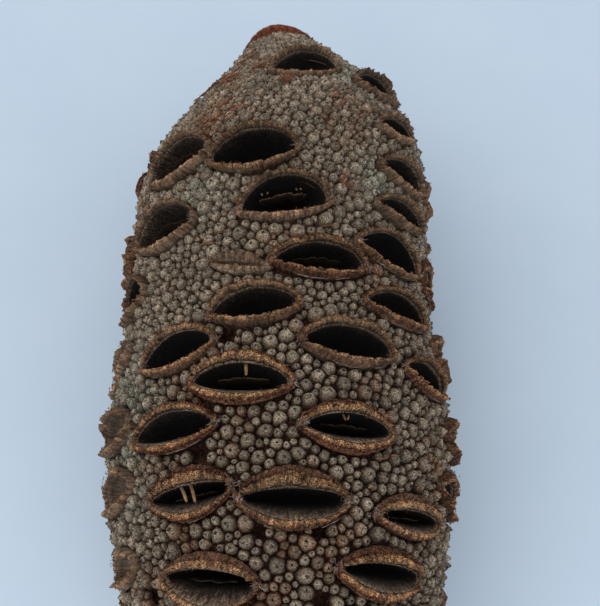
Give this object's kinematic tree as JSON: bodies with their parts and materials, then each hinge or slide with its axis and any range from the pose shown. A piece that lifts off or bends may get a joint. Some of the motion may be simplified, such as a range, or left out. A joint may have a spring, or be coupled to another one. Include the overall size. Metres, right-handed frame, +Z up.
{
  "type": "banksia cone",
  "caption": "Ripe dry banksia cone lying on its side: a knobbly grey-brown woody body with a conical tip, a cut stalk and open two-lipped seed follicles all round.",
  "frame": {"origin": "on the surface that the cone lies on, under the middle of its box", "axes": "+Y along the cone from the cut stalk to the tip, +Z up as the cone lies, +X to its right seen from the stalk's end"},
  "size_m": [0.0831, 0.1814, 0.0809],
  "materials": {
    "cone_wood": "weathered, rough, unpolished wood",
    "separator_wood": "dry matt wood"
  },
  "bodies": {
    "root": {"cone": "cone_wood", "separator_01": "separator_wood", "separator_02": "separator_wood", "separator_03": "separator_wood", "separator_04": "separator_wood", "separator_05": "separator_wood", "separator_06": "separator_wood", "separator_07": "separator_wood", "separator_08": "separator_wood", "separator_09": "separator_wood"}
  },
  "joints": []
}
